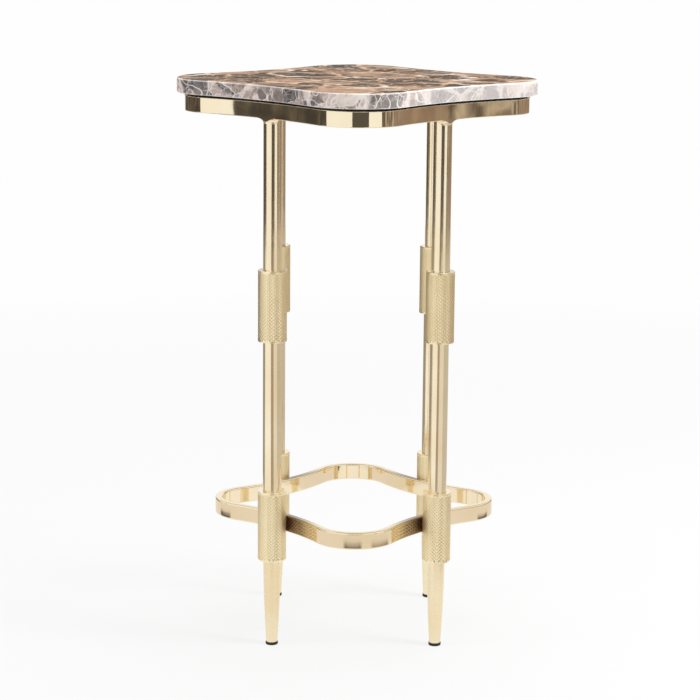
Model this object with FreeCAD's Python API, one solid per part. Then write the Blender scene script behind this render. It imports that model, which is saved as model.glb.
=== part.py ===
import FreeCAD
import Part
import math
import os
from collections import namedtuple
from FreeCAD import Vector

# Tall occasional table: a lobed marble top on a brass apron, four jointed legs and a lobed stretcher ring.
# Millimetres, +Z up. The origin is on the floor, under the middle of the top.
# The lobes point along X and Y, and the legs stand on the diagonals between them. The front is towards -Y.
# Each leg is a stack of tubes, sleeves and a foot, drawn together by a threaded rod down its middle.

# Overall sizes
TABLE_HEIGHT = 610.0
TOP_SPAN = 390.0                # lobe tip to lobe tip
LEG_OFFSET = 89.0               # each leg's axis from the middle, along X and along Y

# Marble top
TOP_THICKNESS = 16.0
TOP_OVERHANG = 8.0              # past the apron's outer face
TOP_UPPER_ROUND = 2.0
TOP_LOWER_ROUND = 1.2

# Rubber strip that the marble beds on
GASKET_THICKNESS = 2.8
GASKET_WIDTH = 4.5
GASKET_INSET = 3.0              # behind the apron's outer face

# Apron band
APRON_HEIGHT = 16.7
APRON_THICKNESS = 8.0
APRON_LOBE_RADIUS = 50.0        # of the outer face
APRON_EDGE_ROUND = 0.8
LEG_SETBACK = 0.5               # from the apron's outer face to the leg's outermost line
FLARE_RADIUS = 5.5              # hollow fillet from the band into the leg
SOCKET_COLLAR = 4.0             # round neck of the socket under the fillet
SOCKET_TOP_DROP = 4.0           # from the band's upper edge down to the socket's top
SPIGOT_LENGTH = 22.0
SPIGOT_THREAD_DEPTH = 26.0

# Fixing tabs inside the lobes
TAB_THICKNESS = 3.0
TAB_DEPTH = 38.0
TAB_SCREW_INSET = 20.0          # from the band's inner face at the lobe's tip

# Screws, washers and threaded inserts that hold the marble
TOP_SCREW_DIAMETER = 6.0
TOP_SCREW_HEAD_DIAMETER = 10.5
TOP_SCREW_HEAD_HEIGHT = 3.3
TOP_SCREW_SOCKET = 4.0          # across the flats of the hexagon
TOP_SCREW_SOCKET_DEPTH = 2.0
TOP_SCREW_ENGAGEMENT = 9.0
WASHER_DIAMETER = 14.0
WASHER_THICKNESS = 1.2
INSERT_DIAMETER = 9.8
INSERT_LENGTH = 11.0
INSERT_HOLE_SPARE = 1.0         # the marble's hole is this much deeper than the insert

# Leg tubes
TUBE_DIAMETER = 20.0
TUBE_WALL = 2.0
LOWER_TUBE_EXPOSED = 164.0      # between the two sleeves

# Sleeves
SLEEVE_DIAMETER = 31.0
SLEEVE_LENGTH = 77.0
SLEEVE_RIM_CHAMFER = 0.4
MIDDLE_SOCKET_DEPTH = 24.0
LOWER_SOCKET_DEPTH = 18.0
FOOT_SOCKET_DEPTH = 20.0

# Feet and glides
FOOT_LENGTH = 93.0              # below the sleeve
FOOT_TOP_DIAMETER = 19.0
FOOT_BOTTOM_DIAMETER = 12.2
FOOT_SWELL = 0.65               # how far the side bows out of a straight taper
FOOT_SPIGOT_DIAMETER = 16.0
FOOT_SPIGOT_SPARE = 2.0         # the spigot stops this much short of its socket's floor
FOOT_THREAD_DEPTH = 34.0
GLIDE_DIAMETER = 13.4
GLIDE_THICKNESS = 3.0
GLIDE_EDGE_CHAMFER = 0.5
GLIDE_STEM_DIAMETER = 5.0
GLIDE_STEM_LENGTH = 14.0

# Tie rods
ROD_DIAMETER = 8.0
ROD_HOLE_DIAMETER = 9.0
ROD_END_SPARE = 2.0             # between the rod's end and the bottom of its tapped hole
ROD_CHAMFER = 0.8

# Stretcher ring
RING_SPAN = 309.0               # lobe tip to lobe tip
RING_HEIGHT = 18.0
RING_THICKNESS = 8.0
RING_LOBE_RADIUS = 45.5         # of the outer face
RING_EDGE_ROUND = 1.6
RING_SEAT_DEPTH = 1.5           # let into the lower sleeve

# Blind dowels between the ring and the lower sleeves
DOWEL_DIAMETER = 5.0
DOWEL_IN_RING = 4.5
DOWEL_IN_SLEEVE = 7.0
DOWEL_END_SPARE = 0.3           # each hole is this much deeper than its end of the dowel
DOWEL_CHAMFER = 0.4

# Clearances, on the radius or on one face
SLIP_CLEARANCE = 0.1            # tubes, spigots and dowels in their sockets, ring in its seat
THREAD_CLEARANCE = 0.05         # threads, drawn as plain cylinders
SCREW_HOLE_CLEARANCE = 0.3

SQRT2 = math.sqrt(2.0)
Z_AXIS = Vector(0, 0, 1)
ORIGIN = Vector(0, 0, 0)

# Levels, from the floor up
foot_bottom = GLIDE_THICKNESS
lower_sleeve_bottom = foot_bottom + FOOT_LENGTH
lower_sleeve_top = lower_sleeve_bottom + SLEEVE_LENGTH
middle_sleeve_bottom = lower_sleeve_top + LOWER_TUBE_EXPOSED
middle_sleeve_top = middle_sleeve_bottom + SLEEVE_LENGTH
top_underside = TABLE_HEIGHT - TOP_THICKNESS
apron_top = top_underside - GASKET_THICKNESS
apron_bottom = apron_top - APRON_HEIGHT
socket_shoulder = apron_bottom - FLARE_RADIUS - SOCKET_COLLAR
spigot_bottom = socket_shoulder - SPIGOT_LENGTH
ring_middle = (lower_sleeve_bottom + lower_sleeve_top) / 2
ring_bottom = ring_middle - RING_HEIGHT / 2
foot_spigot_top = lower_sleeve_bottom + FOOT_SOCKET_DEPTH - FOOT_SPIGOT_SPARE

# Radii
leg_distance = LEG_OFFSET * SQRT2
tube_radius = TUBE_DIAMETER / 2
tube_bore_radius = tube_radius - TUBE_WALL
sleeve_radius = SLEEVE_DIAMETER / 2
rod_radius = ROD_DIAMETER / 2
rod_thread_radius = rod_radius + THREAD_CLEARANCE

# An outline's lobe tip and the middle of its hollow side, from the middle, and its lobes' radius
Outline = namedtuple("Outline", "tip waist lobe_radius")
apron_outer = Outline(TOP_SPAN / 2 - TOP_OVERHANG, leg_distance + tube_radius + LEG_SETBACK, APRON_LOBE_RADIUS)
ring_outer = Outline(RING_SPAN / 2, leg_distance - sleeve_radius + RING_SEAT_DEPTH, RING_LOBE_RADIUS)

# Turns from the piece that is drawn on the +X +Y diagonal, or on +X, to each place
LEG_TURNS = {"back_right": 0, "back_left": 90, "front_left": 180, "front_right": 270}
LOBE_TURNS = {"right": 0, "back": 90, "left": 180, "front": 270}


def grown(outline, distance):
    """The outline moved outwards by a distance, or inwards if it is negative."""
    return Outline(outline.tip + distance, outline.waist + distance, outline.lobe_radius + distance)


def lobed_wire(outline, z):
    """Four round lobes joined by hollow sides, tangent all the way round."""
    tip, waist, lobe_radius = outline
    lobe_centre = tip - lobe_radius
    hollow_radius = (lobe_radius ** 2 - waist ** 2 + SQRT2 * lobe_centre * waist - lobe_centre ** 2) / (
        2 * waist - SQRT2 * lobe_centre - 2 * lobe_radius
    )
    hollow_centre = (waist + hollow_radius) / SQRT2
    share = lobe_radius / (lobe_radius + hollow_radius)
    join_far = lobe_centre + (hollow_centre - lobe_centre) * share
    join_near = hollow_centre * share
    edges = []
    for quarter in range(4):
        turn = FreeCAD.Rotation(Z_AXIS, 90 * quarter)
        lobe = [Vector(join_far, -join_near, z), Vector(tip, 0, z), Vector(join_far, join_near, z)]
        side = [lobe[2], Vector(waist / SQRT2, waist / SQRT2, z), Vector(join_near, join_far, z)]
        for points in (lobe, side):
            edges.append(Part.Arc(*[turn.multVec(point) for point in points]).toShape())
    return Part.Wire(edges)


def lobed_slab(outline, z, height):
    """A flat slab with a lobed outline."""
    return Part.Face(lobed_wire(outline, z)).extrude(Vector(0, 0, height))


def lobed_band(outline, thickness, z, height):
    """A flat bar bent into a closed band, whose outer face follows the outline."""
    return lobed_slab(outline, z, height).cut(lobed_slab(grown(outline, -thickness), z, height))


def rounded_rims(solid, z, radius):
    """Rounds every edge of the solid that lies at one level."""
    level_gap = 1e-6
    rims = [edge for edge in solid.Edges
            if abs(edge.BoundBox.ZMin - z) < level_gap and abs(edge.BoundBox.ZMax - z) < level_gap]
    return solid.makeFillet(radius, rims)


def turned(profile):
    """Turns a closed list of (radius, level) corners about the Z axis."""
    corners = [Vector(radius, 0, level) for radius, level in profile]
    return Part.Face(Part.makePolygon(corners + corners[:1])).revolve(ORIGIN, Z_AXIS, 360)


def cylinder(radius, z_low, z_high):
    return Part.makeCylinder(radius, z_high - z_low, Vector(0, 0, z_low))


def hexagon(across_flats, z_low, z_high):
    """A hexagonal prism about the Z axis."""
    corner_radius = across_flats / math.sqrt(3.0)
    angles = [math.radians(60 * corner) for corner in range(6)]
    corners = [Vector(corner_radius * math.cos(a), corner_radius * math.sin(a), z_low) for a in angles]
    return Part.Face(Part.makePolygon(corners + corners[:1])).extrude(Vector(0, 0, z_high - z_low))


def on_leg(solid):
    """Moves a piece drawn about the Z axis to the leg on the +X +Y diagonal."""
    return solid.translated(Vector(LEG_OFFSET, LEG_OFFSET, 0))


def on_tab(solid):
    """Moves a piece drawn about the Z axis to the tab's screw hole on +X."""
    return solid.translated(Vector(apron_outer.tip - APRON_THICKNESS - TAB_SCREW_INSET, 0, 0))


def on_ring(solid):
    """Turns a piece drawn up the Z axis to lie outwards along the +X +Y diagonal, at the ring's mid-height.

    The piece's zero level comes to the ring's outer face.
    """
    outer_face = ring_outer.waist / SQRT2
    turn = FreeCAD.Rotation(Z_AXIS, Vector(1, 1, 0))
    return solid.transformed(FreeCAD.Placement(Vector(outer_face, outer_face, ring_middle), turn).toMatrix())


def about_z(solid, degrees):
    return solid.rotated(ORIGIN, Z_AXIS, degrees)


def at_all(solid, turns):
    """One copy of a piece at each place, as one group."""
    return Part.Compound([about_z(solid, degrees) for degrees in turns.values()])


def make_marble_top():
    slab = lobed_slab(grown(apron_outer, TOP_OVERHANG), top_underside, TOP_THICKNESS)
    slab = rounded_rims(slab, TABLE_HEIGHT, TOP_UPPER_ROUND)
    slab = rounded_rims(slab, top_underside, TOP_LOWER_ROUND)
    hole_top = top_underside + INSERT_LENGTH + INSERT_HOLE_SPARE
    hole = on_tab(cylinder(INSERT_DIAMETER / 2 + SLIP_CLEARANCE, top_underside, hole_top))
    return slab.cut(at_all(hole, LOBE_TURNS))


def make_seat_gasket():
    return lobed_band(grown(apron_outer, -GASKET_INSET), GASKET_WIDTH, apron_top, GASKET_THICKNESS)


def make_leg_socket():
    """The round socket under the band, with the hollow fillets that run out along the band on both sides."""
    neck = cylinder(tube_radius, socket_shoulder, apron_top - SOCKET_TOP_DROP)
    spigot = cylinder(tube_bore_radius - SLIP_CLEARANCE, spigot_bottom, socket_shoulder)
    rim_radius = tube_radius + FLARE_RADIUS
    flare_foot = apron_bottom - FLARE_RADIUS
    flare_top = apron_bottom + APRON_EDGE_ROUND
    middle = FLARE_RADIUS * (1 - math.sqrt(0.5))
    corners = [
        Vector(tube_radius, 0, flare_foot),
        Vector(rim_radius, 0, apron_bottom),
        Vector(rim_radius, 0, flare_top),
        Vector(0, 0, flare_top),
        Vector(0, 0, flare_foot),
    ]
    hollow = Part.Arc(corners[0], Vector(tube_radius + middle, 0, apron_bottom - middle), corners[1]).toShape()
    straight = Part.makePolygon(corners[1:] + corners[:1])
    flare = on_leg(Part.Face(Part.Wire([hollow] + straight.Edges)).revolve(ORIGIN, Z_AXIS, 360))
    web = flare.common(lobed_band(apron_outer, APRON_THICKNESS, flare_foot, FLARE_RADIUS + APRON_EDGE_ROUND))
    thread = cylinder(rod_thread_radius, spigot_bottom, spigot_bottom + SPIGOT_THREAD_DEPTH)
    return on_leg(neck.fuse(spigot)).fuse(web), on_leg(thread)


def make_apron_band():
    band = lobed_band(apron_outer, APRON_THICKNESS, apron_bottom, APRON_HEIGHT)
    band = rounded_rims(band, apron_bottom, APRON_EDGE_ROUND)
    band = rounded_rims(band, apron_top, APRON_EDGE_ROUND)
    socket, thread = make_leg_socket()
    for degrees in LEG_TURNS.values():
        band = band.fuse(about_z(socket, degrees)).cut(about_z(thread, degrees))
    return band.removeSplitter()


def make_fixing_tab():
    """A D-shaped plate that fills the tip of a lobe, level with the band's upper edge."""
    inner = grown(apron_outer, -APRON_THICKNESS)
    plate = lobed_slab(inner, apron_top - TAB_THICKNESS, TAB_THICKNESS)
    reach = Part.makeBox(
        TAB_DEPTH, 2 * inner.lobe_radius, TAB_THICKNESS,
        Vector(inner.tip - TAB_DEPTH, -inner.lobe_radius, apron_top - TAB_THICKNESS),
    )
    hole_radius = TOP_SCREW_DIAMETER / 2 + SCREW_HOLE_CLEARANCE
    return plate.common(reach).cut(on_tab(cylinder(hole_radius, apron_top - TAB_THICKNESS, apron_top)))


def make_top_screw():
    """A button-headed screw with a hexagon socket, driven up through the tab into the marble's insert."""
    head_seat = apron_top - TAB_THICKNESS - WASHER_THICKNESS
    head_bottom = head_seat - TOP_SCREW_HEAD_HEIGHT
    head_radius = TOP_SCREW_HEAD_DIAMETER / 2
    crown_radius = head_radius - TOP_SCREW_HEAD_HEIGHT / 2
    head = turned([(0, head_seat), (head_radius, head_seat), (head_radius, head_seat - TOP_SCREW_HEAD_HEIGHT / 3),
                   (crown_radius, head_bottom), (0, head_bottom)])
    shank = cylinder(TOP_SCREW_DIAMETER / 2, head_seat, top_underside + TOP_SCREW_ENGAGEMENT)
    recess = hexagon(TOP_SCREW_SOCKET, head_bottom, head_bottom + TOP_SCREW_SOCKET_DEPTH)
    return on_tab(head.fuse(shank).cut(recess))


def make_top_washer():
    top = apron_top - TAB_THICKNESS
    bottom = top - WASHER_THICKNESS
    hole_radius = TOP_SCREW_DIAMETER / 2 + SCREW_HOLE_CLEARANCE
    return on_tab(cylinder(WASHER_DIAMETER / 2, bottom, top).cut(cylinder(hole_radius, bottom, top)))


def make_top_insert():
    top = top_underside + INSERT_LENGTH
    bore_radius = TOP_SCREW_DIAMETER / 2 + THREAD_CLEARANCE
    return on_tab(cylinder(INSERT_DIAMETER / 2, top_underside, top).cut(cylinder(bore_radius, top_underside, top)))


def make_tube(z_low, z_high):
    return on_leg(cylinder(tube_radius, z_low, z_high).cut(cylinder(tube_bore_radius, z_low, z_high)))


def make_sleeve(z_low, low_bore_radius, low_depth, high_bore_radius, high_depth):
    """A turned sleeve with a socket in each end and a web between them, drilled for the tie rod."""
    z_high = z_low + SLEEVE_LENGTH
    chamfer = SLEEVE_RIM_CHAMFER
    body = turned([(0, z_low), (sleeve_radius - chamfer, z_low), (sleeve_radius, z_low + chamfer),
                   (sleeve_radius, z_high - chamfer), (sleeve_radius - chamfer, z_high), (0, z_high)])
    for tool in (
        cylinder(low_bore_radius, z_low, z_low + low_depth),
        cylinder(high_bore_radius, z_high - high_depth, z_high),
        cylinder(ROD_HOLE_DIAMETER / 2, z_low, z_high),
    ):
        body = body.cut(tool)
    return on_leg(body)


def make_middle_sleeve():
    bore_radius = tube_radius + SLIP_CLEARANCE
    return make_sleeve(middle_sleeve_bottom, bore_radius, MIDDLE_SOCKET_DEPTH, bore_radius, MIDDLE_SOCKET_DEPTH)


def make_lower_sleeve():
    """The lower sleeve, with a seat let into its inner side for the ring and a blind hole for the ring's dowel."""
    foot_bore_radius = FOOT_SPIGOT_DIAMETER / 2 + SLIP_CLEARANCE
    tube_bore = tube_radius + SLIP_CLEARANCE
    body = make_sleeve(lower_sleeve_bottom, foot_bore_radius, FOOT_SOCKET_DEPTH, tube_bore, LOWER_SOCKET_DEPTH)
    seat = lobed_slab(ring_outer, ring_bottom - SLIP_CLEARANCE, RING_HEIGHT + 2 * SLIP_CLEARANCE)
    return body.cut(seat).cut(dowel_hole())


def make_foot():
    """A turned foot with a gently bowed taper, tapped for the tie rod and drilled for its glide."""
    top_radius, bottom_radius = FOOT_TOP_DIAMETER / 2, FOOT_BOTTOM_DIAMETER / 2
    half_way = (foot_bottom + lower_sleeve_bottom) / 2
    corners = [
        Vector(bottom_radius, 0, foot_bottom),
        Vector(top_radius, 0, lower_sleeve_bottom),
        Vector(FOOT_SPIGOT_DIAMETER / 2, 0, lower_sleeve_bottom),
        Vector(FOOT_SPIGOT_DIAMETER / 2, 0, foot_spigot_top),
        Vector(0, 0, foot_spigot_top),
        Vector(0, 0, foot_bottom),
    ]
    bow = Vector((top_radius + bottom_radius) / 2 + FOOT_SWELL, 0, half_way)
    side = Part.Arc(corners[0], bow, corners[1]).toShape()
    rest = Part.makePolygon(corners[1:] + corners[:1])
    foot = Part.Face(Part.Wire([side] + rest.Edges)).revolve(ORIGIN, Z_AXIS, 360)
    thread = cylinder(rod_thread_radius, foot_spigot_top - FOOT_THREAD_DEPTH, foot_spigot_top)
    stem_hole = cylinder(GLIDE_STEM_DIAMETER / 2 + THREAD_CLEARANCE, foot_bottom, foot_bottom + GLIDE_STEM_LENGTH)
    return on_leg(foot.cut(thread).cut(stem_hole))


def make_glide():
    """A rubber disc on a stem that is pushed up into the foot."""
    radius, chamfer, stem_radius = GLIDE_DIAMETER / 2, GLIDE_EDGE_CHAMFER, GLIDE_STEM_DIAMETER / 2
    stem_top = foot_bottom + GLIDE_STEM_LENGTH
    return on_leg(turned([
        (0, 0), (radius - chamfer, 0), (radius, chamfer), (radius, foot_bottom),
        (stem_radius, foot_bottom), (stem_radius, stem_top), (0, stem_top),
    ]))


def make_tie_rod():
    low = foot_spigot_top - FOOT_THREAD_DEPTH + ROD_END_SPARE
    high = spigot_bottom + SPIGOT_THREAD_DEPTH - ROD_END_SPARE
    end_radius = rod_radius - ROD_CHAMFER
    return on_leg(turned([
        (0, low), (end_radius, low), (rod_radius, low + ROD_CHAMFER),
        (rod_radius, high - ROD_CHAMFER), (end_radius, high), (0, high),
    ]))


def dowel_hole():
    """The two blind holes that share a dowel, as one cutting piece."""
    low, high = -DOWEL_IN_RING - DOWEL_END_SPARE, DOWEL_IN_SLEEVE + DOWEL_END_SPARE
    return on_ring(cylinder(DOWEL_DIAMETER / 2 + SLIP_CLEARANCE, low, high))


def make_stretcher_ring():
    ring = lobed_band(ring_outer, RING_THICKNESS, ring_bottom, RING_HEIGHT)
    ring = rounded_rims(ring, ring_bottom, RING_EDGE_ROUND)
    ring = rounded_rims(ring, ring_bottom + RING_HEIGHT, RING_EDGE_ROUND)
    return ring.cut(at_all(dowel_hole(), LEG_TURNS))


def make_ring_dowel():
    low, high, radius = -DOWEL_IN_RING, DOWEL_IN_SLEEVE, DOWEL_DIAMETER / 2
    end_radius = radius - DOWEL_CHAMFER
    return on_ring(turned([
        (0, low), (end_radius, low), (radius, low + DOWEL_CHAMFER),
        (radius, high - DOWEL_CHAMFER), (end_radius, high), (0, high),
    ]))


def build():
    """Every piece of the table, by name."""
    pieces = {
        "marble_top": make_marble_top(),
        "seat_gasket": make_seat_gasket(),
        "apron_band": make_apron_band(),
        "stretcher_ring": make_stretcher_ring(),
        "top_screws": at_all(make_top_screw(), LOBE_TURNS),
        "top_washers": at_all(make_top_washer(), LOBE_TURNS),
        "top_inserts": at_all(make_top_insert(), LOBE_TURNS),
        "ring_dowels": at_all(make_ring_dowel(), LEG_TURNS),
    }
    fixing_tab = make_fixing_tab()
    for place, degrees in LOBE_TURNS.items():
        pieces[f"fixing_tab_{place}"] = about_z(fixing_tab, degrees)
    leg_pieces = {
        "upper_tube": make_tube(middle_sleeve_top - MIDDLE_SOCKET_DEPTH, socket_shoulder),
        "middle_sleeve": make_middle_sleeve(),
        "lower_tube": make_tube(lower_sleeve_top - LOWER_SOCKET_DEPTH, middle_sleeve_bottom + MIDDLE_SOCKET_DEPTH),
        "lower_sleeve": make_lower_sleeve(),
        "foot": make_foot(),
        "glide": make_glide(),
        "tie_rod": make_tie_rod(),
    }
    for place, degrees in LEG_TURNS.items():
        for name, solid in leg_pieces.items():
            pieces[f"{name}_{place}"] = about_z(solid, degrees)
    return pieces


os.makedirs("parts", exist_ok=True)
for node, shape in build().items():
    shape.exportStep(os.path.join("parts", node + ".step"))
    print(node, len(shape.Solids), round(shape.Volume), shape.isValid())
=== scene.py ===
import bpy
import bmesh
import math
from mathutils import Matrix, Vector


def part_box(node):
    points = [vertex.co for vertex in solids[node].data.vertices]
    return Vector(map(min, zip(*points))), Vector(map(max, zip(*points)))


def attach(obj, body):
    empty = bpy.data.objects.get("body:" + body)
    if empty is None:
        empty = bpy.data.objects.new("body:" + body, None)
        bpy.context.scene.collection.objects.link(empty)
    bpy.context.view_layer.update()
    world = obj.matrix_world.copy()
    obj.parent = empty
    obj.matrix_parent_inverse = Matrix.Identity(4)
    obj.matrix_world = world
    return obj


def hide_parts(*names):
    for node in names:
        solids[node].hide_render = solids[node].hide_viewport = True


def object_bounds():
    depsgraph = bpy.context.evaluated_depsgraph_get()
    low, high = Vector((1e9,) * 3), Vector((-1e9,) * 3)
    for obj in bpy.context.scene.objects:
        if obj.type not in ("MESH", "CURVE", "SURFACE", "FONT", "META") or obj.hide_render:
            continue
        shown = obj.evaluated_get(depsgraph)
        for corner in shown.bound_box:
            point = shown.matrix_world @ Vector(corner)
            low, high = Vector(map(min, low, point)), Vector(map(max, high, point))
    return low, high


# Tall occasional table: lobed marble top, mirror-bright brass apron and legs, knurled sleeves and a lobed
# stretcher ring. Metres, +Z up, the same frame as the solids. The lobe towards -Y is the front one.

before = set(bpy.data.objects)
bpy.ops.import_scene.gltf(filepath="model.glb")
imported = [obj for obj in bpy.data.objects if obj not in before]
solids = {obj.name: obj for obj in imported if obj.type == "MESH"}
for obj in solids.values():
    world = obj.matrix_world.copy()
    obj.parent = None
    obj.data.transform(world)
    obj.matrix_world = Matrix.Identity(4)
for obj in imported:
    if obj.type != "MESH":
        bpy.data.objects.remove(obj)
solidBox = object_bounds()
print("frame:", len(solids), "solids")

mm = 0.001
legPlaces = ["back_right", "back_left", "front_left", "front_right"]
lobePlaces = ["right", "back", "left", "front"]

# node kinds used often, and the Mix node's colour sockets, which share their names with its other modes
mathNode, vectorNode, mixNode = "ShaderNodeMath", "ShaderNodeVectorMath", "ShaderNodeMix"
noiseNode, cellNode = "ShaderNodeTexNoise", "ShaderNodeTexVoronoi"
rangeNode, rampNode = "ShaderNodeMapRange", "ShaderNodeValToRGB"
mixA, mixB, mixOut = 6, 7, 2


def linear(hexCode):
    channels = [int(hexCode[i:i + 2], 16) / 255 for i in (1, 3, 5)]
    return [c / 12.92 if c <= 0.04045 else ((c + 0.055) / 1.055) ** 2.4 for c in channels] + [1.0]


def perMm(size):
    return 1 / (size * mm)      # texture scale for a pattern of this size


def addNode(tree, kind, inputs=None, stops=None, **settings):
    node = tree.nodes.new(kind)
    for name, value in settings.items():
        setattr(node, name, value)
    for socket, value in (inputs or {}).items():
        if isinstance(value, bpy.types.NodeSocket):
            tree.links.new(value, node.inputs[socket])
        else:
            node.inputs[socket].default_value = value
    if stops:
        ramp = node.color_ramp
        while len(ramp.elements) < len(stops):
            ramp.elements.new(1.0)
        for element, (place, colour) in zip(ramp.elements, stops):
            element.position = place
            element.color = linear(colour)
    return node


def newMaterial(name):
    material = bpy.data.materials.new(name)
    material.use_nodes = True
    tree = material.node_tree
    return material, tree, tree.nodes["Principled BSDF"]


def dress(material, *names):
    for name in names:
        for materialSlot in solids[name].material_slots:
            materialSlot.material = material


# Marble

marbleLook = {
    "cut": (-0.09, 0.39, -0.45),    # m, where in its block the slab was sawn
    "clast": 54.0,              # mm across, the broken pieces
    "shard": 20.0,              # mm, smaller pieces between veins
    "chip": 8.0,                # mm, the splinters that show on the edge
    "warps": [(60.0, 16.0), (16.0, 4.0)],   # mm, length and reach of the flows that bend them
    "spread": 80.0,             # mm, patches where the calcite between the clasts is wide or thin
    "spreadRange": (0.38, 0.62),    # levels of that noise, from thin to wide
    "fibre": 24.0,              # mm, streaks in the calcite
    "fray": 0.30,               # share of a clast, how far the streaks fray a seam
    "cloud": 8.0,               # mm, blotches inside a clast
    "crack": 40.0,              # mm between the wandering cracks
    "spot": 20.0,               # mm, white crystals
    "grain": 1.6,               # mm, the sugary surface
    "thinSeam": 0.02,           # share of a clast
    "wideSeam": 0.17,
    "seamGain": 1.8,            # above 1, the calcite ends more sharply
    "edgeSeamAmount": 0.7,
    "veinWidth": 0.07,          # share of a shard
    "lineWidth": 0.035,         # share of a shard, the thin white lines on the edge
    "hairWidth": 0.06,          # share of a chip
    "hairAmount": 0.55,
    "breaks": (0.60, 0.46),     # levels of the streaks between which a vein sets in
    "crackWidth": 0.012,
    "spotsFrom": 110 * mm,      # distance from the middle where white crystals get common
    "spotsTo": 180 * mm,
    "spotLevels": (0.74, 0.66),     # noise above this is crystal, nearer in and farther out
    "spotBlur": 0.05,
    "paintedLightFrom": -20 * mm,       # along X, where the painted light on the edge starts
    "paintedLightTo": 90 * mm,
    "paintedLightAmount": 0.64,
    "topShares": {"clast": 0.48, "shard": 0.16, "cloud": 0.36},     # what a spot's tone adds up from
    "edgeShares": {"shard": 0.24, "clast": 0.22, "chip": 0.14, "cloud": 0.40},
    "topTones": [(0.34, "#1F1916"), (0.46, "#392F29"), (0.56, "#58493F"), (0.66, "#8F705A"),
                 (0.77, "#C8A083")],
    "topCalcite": [(0.36, "#927259"), (0.47, "#C29C80"), (0.57, "#EFD6BD"), (0.66, "#FCF6EE")],
    "veinTone": "#CAA486",
    "crystalTone": "#FBF7F1",
    "edgeTones": [(0.24, "#352D2A"), (0.36, "#544944"), (0.45, "#67656A"), (0.53, "#82726B"),
                  (0.60, "#A8968F"), (0.69, "#DCCDC5")],
    "edgeCalcite": [(0.35, "#C9B4A8"), (0.58, "#EAE1DA")],
    "hairTone": "#E9E1DC",
    "paintedLightTone": "#B4AFAC",
    "arrisChalkAndHighlightTone": "#F0EAE5",
    "arrisAmount": 0.50,
    "topLean": (0.80, 0.97),    # the normal's Z, from the last of the edge to the first of the top
    "arrisLean": ((0.15, 0.45), (0.80, 0.96)),      # the normal's Z, where an arris sets in and ends
    "roughness": (0.22, 0.44),  # polished top, honed edge
    "grainRoughness": 0.10,
    "pitStrength": 0.10,
    "pitDepth": 0.04 * mm,
}


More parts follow.
